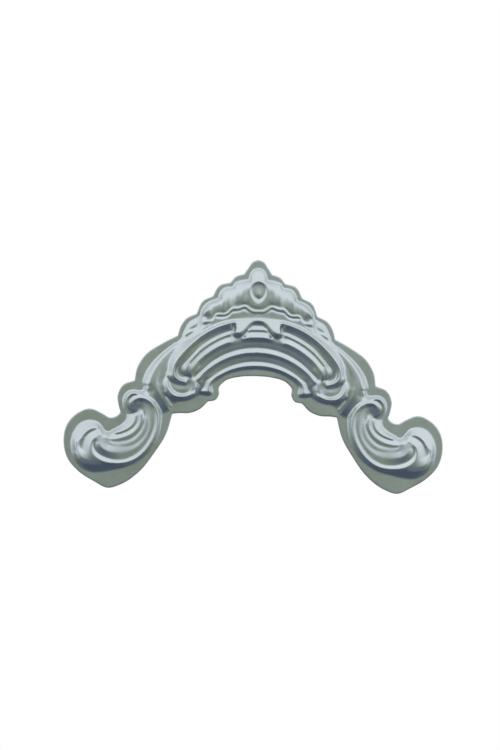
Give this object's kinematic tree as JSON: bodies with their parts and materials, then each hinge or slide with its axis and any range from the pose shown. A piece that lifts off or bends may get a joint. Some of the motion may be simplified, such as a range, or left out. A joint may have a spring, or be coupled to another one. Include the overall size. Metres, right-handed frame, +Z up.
{
  "type": "corner ornament",
  "caption": "Hollow-backed corner applique: a moulded rocaille arch with a beaded crest between two fluted C-scroll lobes, on a thin flat flange",
  "frame": {"origin": "on the flat back of the flange, on the centre line, just above the lower edge of the arch", "axes": "+X to the right seen from the front, +Y out of the back into the panel it is fixed to, +Z up toward the crest"},
  "size_m": [0.2, 0.0097, 0.1213],
  "materials": {
    "satin_metal": "satin silver grey"
  },
  "bodies": {
    "root": {"corner_ornament": "satin_metal"}
  },
  "joints": []
}
